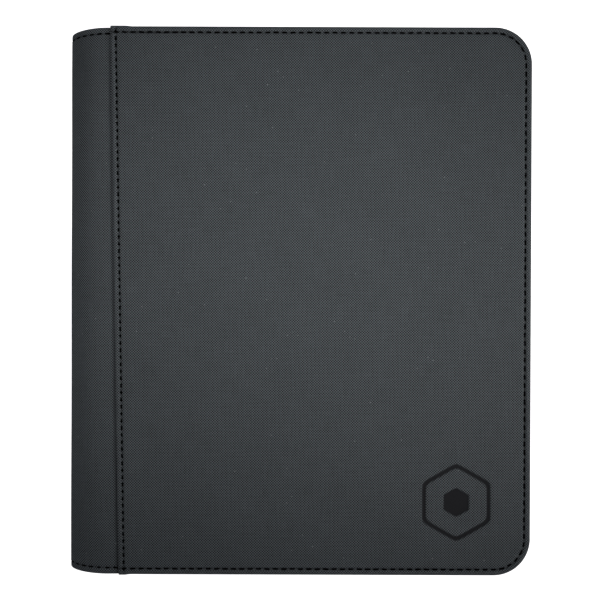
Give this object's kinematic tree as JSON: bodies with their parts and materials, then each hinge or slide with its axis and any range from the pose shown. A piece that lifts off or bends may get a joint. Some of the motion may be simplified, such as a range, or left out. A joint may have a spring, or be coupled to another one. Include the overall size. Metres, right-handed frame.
{
  "type": "trading card binder",
  "caption": "Closed padded card binder with a rounded soft spine, a sewn cover that opens flat and fixed side-loading pocket pages inside.",
  "frame": {"origin": "middle of the closed binder's footprint, on the surface that its back cover lies on", "axes": "+X from the spine to the fore-edge, +Y towards the head, +Z out of the front cover"},
  "size_m": [0.272, 0.32, 0.032],
  "materials": {
    "woven_fabric": "coated woven polyester, semi-matt",
    "lining_fabric": "smooth woven lining, matt",
    "foam": "closed-cell foam sheet",
    "greyboard": "uncoated grey board",
    "thread": "black polyester thread",
    "black_sheet": "black polypropylene sheet, fine matt",
    "clear_film": "clear polypropylene film"
  },
  "bodies": {
    "back_cover": {"back_outer_panel": "woven_fabric", "back_foam_pad": "foam", "back_board": "greyboard", "back_lining": "lining_fabric", "back_edge_stitching": "thread", "back_seam_stitching": "thread", "spine_panel_back": "woven_fabric", "spine_lining_back": "lining_fabric", "binding_strip_back": "black_sheet"},
    "front_cover": {"front_outer_panel": "woven_fabric", "front_foam_pad": "foam", "front_board": "greyboard", "front_lining": "lining_fabric", "front_edge_stitching": "thread", "front_seam_stitching": "thread", "spine_panel_front": "woven_fabric", "spine_lining_front": "lining_fabric", "binding_strip_front": "black_sheet"},
    "page_01": {"page_01_sheet": "black_sheet", "page_01_pockets": "clear_film"},
    "page_02": {"page_02_sheet": "black_sheet", "page_02_pockets": "clear_film"},
    "page_03": {"page_03_sheet": "black_sheet", "page_03_pockets": "clear_film"},
    "page_04": {"page_04_sheet": "black_sheet", "page_04_pockets": "clear_film"},
    "page_05": {"page_05_sheet": "black_sheet", "page_05_pockets": "clear_film"},
    "page_06": {"page_06_sheet": "black_sheet", "page_06_pockets": "clear_film"},
    "page_07": {"page_07_sheet": "black_sheet", "page_07_pockets": "clear_film"},
    "page_08": {"page_08_sheet": "black_sheet", "page_08_pockets": "clear_film"},
    "page_09": {"page_09_sheet": "black_sheet", "page_09_pockets": "clear_film"},
    "page_10": {"page_10_sheet": "black_sheet", "page_10_pockets": "clear_film"},
    "page_11": {"page_11_sheet": "black_sheet", "page_11_pockets": "clear_film"},
    "page_12": {"page_12_sheet": "black_sheet", "page_12_pockets": "clear_film"},
    "page_13": {"page_13_sheet": "black_sheet", "page_13_pockets": "clear_film"},
    "page_14": {"page_14_sheet": "black_sheet", "page_14_pockets": "clear_film"},
    "page_15": {"page_15_sheet": "black_sheet", "page_15_pockets": "clear_film"},
    "page_16": {"page_16_sheet": "black_sheet", "page_16_pockets": "clear_film"},
    "page_17": {"page_17_sheet": "black_sheet", "page_17_pockets": "clear_film"},
    "page_18": {"page_18_sheet": "black_sheet", "page_18_pockets": "clear_film"},
    "page_19": {"page_19_sheet": "black_sheet", "page_19_pockets": "clear_film"},
    "page_20": {"page_20_sheet": "black_sheet", "page_20_pockets": "clear_film"}
  },
  "joints": [
    {"name": "front_cover_hinge", "type": "hinge", "parent": "back_cover", "child": "front_cover", "pos_m": [-0.1362, 0, 0.016], "axis": [0, -1, 0], "range_deg": [0, 179.9]},
    {"name": "page_01_turn", "type": "hinge", "parent": "back_cover", "child": "page_01", "pos_m": [-0.1362, 0, 0.016], "axis": [0, -1, 0], "range_deg": [0, 180]},
    {"name": "page_02_turn", "type": "hinge", "parent": "back_cover", "child": "page_02", "pos_m": [-0.1362, 0, 0.016], "axis": [0, -1, 0], "range_deg": [0, 180]},
    {"name": "page_03_turn", "type": "hinge", "parent": "back_cover", "child": "page_03", "pos_m": [-0.1362, 0, 0.016], "axis": [0, -1, 0], "range_deg": [0, 180]},
    {"name": "page_04_turn", "type": "hinge", "parent": "back_cover", "child": "page_04", "pos_m": [-0.1362, 0, 0.016], "axis": [0, -1, 0], "range_deg": [0, 180]},
    {"name": "page_05_turn", "type": "hinge", "parent": "back_cover", "child": "page_05", "pos_m": [-0.1362, 0, 0.016], "axis": [0, -1, 0], "range_deg": [0, 180]},
    {"name": "page_06_turn", "type": "hinge", "parent": "back_cover", "child": "page_06", "pos_m": [-0.1362, 0, 0.016], "axis": [0, -1, 0], "range_deg": [0, 180]},
    {"name": "page_07_turn", "type": "hinge", "parent": "back_cover", "child": "page_07", "pos_m": [-0.1362, 0, 0.016], "axis": [0, -1, 0], "range_deg": [0, 180]},
    {"name": "page_08_turn", "type": "hinge", "parent": "back_cover", "child": "page_08", "pos_m": [-0.1362, 0, 0.016], "axis": [0, -1, 0], "range_deg": [0, 180]},
    {"name": "page_09_turn", "type": "hinge", "parent": "back_cover", "child": "page_09", "pos_m": [-0.1362, 0, 0.016], "axis": [0, -1, 0], "range_deg": [0, 180]},
    {"name": "page_10_turn", "type": "hinge", "parent": "back_cover", "child": "page_10", "pos_m": [-0.1362, 0, 0.016], "axis": [0, -1, 0], "range_deg": [0, 180]},
    {"name": "page_11_turn", "type": "hinge", "parent": "back_cover", "child": "page_11", "pos_m": [-0.1362, 0, 0.016], "axis": [0, -1, 0], "range_deg": [0, 180]},
    {"name": "page_12_turn", "type": "hinge", "parent": "back_cover", "child": "page_12", "pos_m": [-0.1362, 0, 0.016], "axis": [0, -1, 0], "range_deg": [0, 180]},
    {"name": "page_13_turn", "type": "hinge", "parent": "back_cover", "child": "page_13", "pos_m": [-0.1362, 0, 0.016], "axis": [0, -1, 0], "range_deg": [0, 180]},
    {"name": "page_14_turn", "type": "hinge", "parent": "back_cover", "child": "page_14", "pos_m": [-0.1362, 0, 0.016], "axis": [0, -1, 0], "range_deg": [0, 180]},
    {"name": "page_15_turn", "type": "hinge", "parent": "back_cover", "child": "page_15", "pos_m": [-0.1362, 0, 0.016], "axis": [0, -1, 0], "range_deg": [0, 180]},
    {"name": "page_16_turn", "type": "hinge", "parent": "back_cover", "child": "page_16", "pos_m": [-0.1362, 0, 0.016], "axis": [0, -1, 0], "range_deg": [0, 180]},
    {"name": "page_17_turn", "type": "hinge", "parent": "back_cover", "child": "page_17", "pos_m": [-0.1362, 0, 0.016], "axis": [0, -1, 0], "range_deg": [0, 180]},
    {"name": "page_18_turn", "type": "hinge", "parent": "back_cover", "child": "page_18", "pos_m": [-0.1362, 0, 0.016], "axis": [0, -1, 0], "range_deg": [0, 180]},
    {"name": "page_19_turn", "type": "hinge", "parent": "back_cover", "child": "page_19", "pos_m": [-0.1362, 0, 0.016], "axis": [0, -1, 0], "range_deg": [0, 180]},
    {"name": "page_20_turn", "type": "hinge", "parent": "back_cover", "child": "page_20", "pos_m": [-0.1362, 0, 0.016], "axis": [0, -1, 0], "range_deg": [0, 180]}
  ],
  "couplings": [
    {"joint": "page_01_turn", "follows": "front_cover_hinge", "ratio": 0.9985},
    {"joint": "page_02_turn", "follows": "front_cover_hinge", "ratio": 0.997},
    {"joint": "page_03_turn", "follows": "front_cover_hinge", "ratio": 0.9955},
    {"joint": "page_04_turn", "follows": "front_cover_hinge", "ratio": 0.994},
    {"joint": "page_05_turn", "follows": "front_cover_hinge", "ratio": 0.9925},
    {"joint": "page_06_turn", "follows": "front_cover_hinge", "ratio": 0.991},
    {"joint": "page_07_turn", "follows": "front_cover_hinge", "ratio": 0.9895},
    {"joint": "page_08_turn", "follows": "front_cover_hinge", "ratio": 0.988},
    {"joint": "page_09_turn", "follows": "front_cover_hinge", "ratio": 0.9865},
    {"joint": "page_10_turn", "follows": "front_cover_hinge", "ratio": 0.985},
    {"joint": "page_11_turn", "follows": "front_cover_hinge", "ratio": 0.015},
    {"joint": "page_12_turn", "follows": "front_cover_hinge", "ratio": 0.0135},
    {"joint": "page_13_turn", "follows": "front_cover_hinge", "ratio": 0.012},
    {"joint": "page_14_turn", "follows": "front_cover_hinge", "ratio": 0.0105},
    {"joint": "page_15_turn", "follows": "front_cover_hinge", "ratio": 0.009},
    {"joint": "page_16_turn", "follows": "front_cover_hinge", "ratio": 0.0075},
    {"joint": "page_17_turn", "follows": "front_cover_hinge", "ratio": 0.006},
    {"joint": "page_18_turn", "follows": "front_cover_hinge", "ratio": 0.0045},
    {"joint": "page_19_turn", "follows": "front_cover_hinge", "ratio": 0.003},
    {"joint": "page_20_turn", "follows": "front_cover_hinge", "ratio": 0.0015}
  ]
}
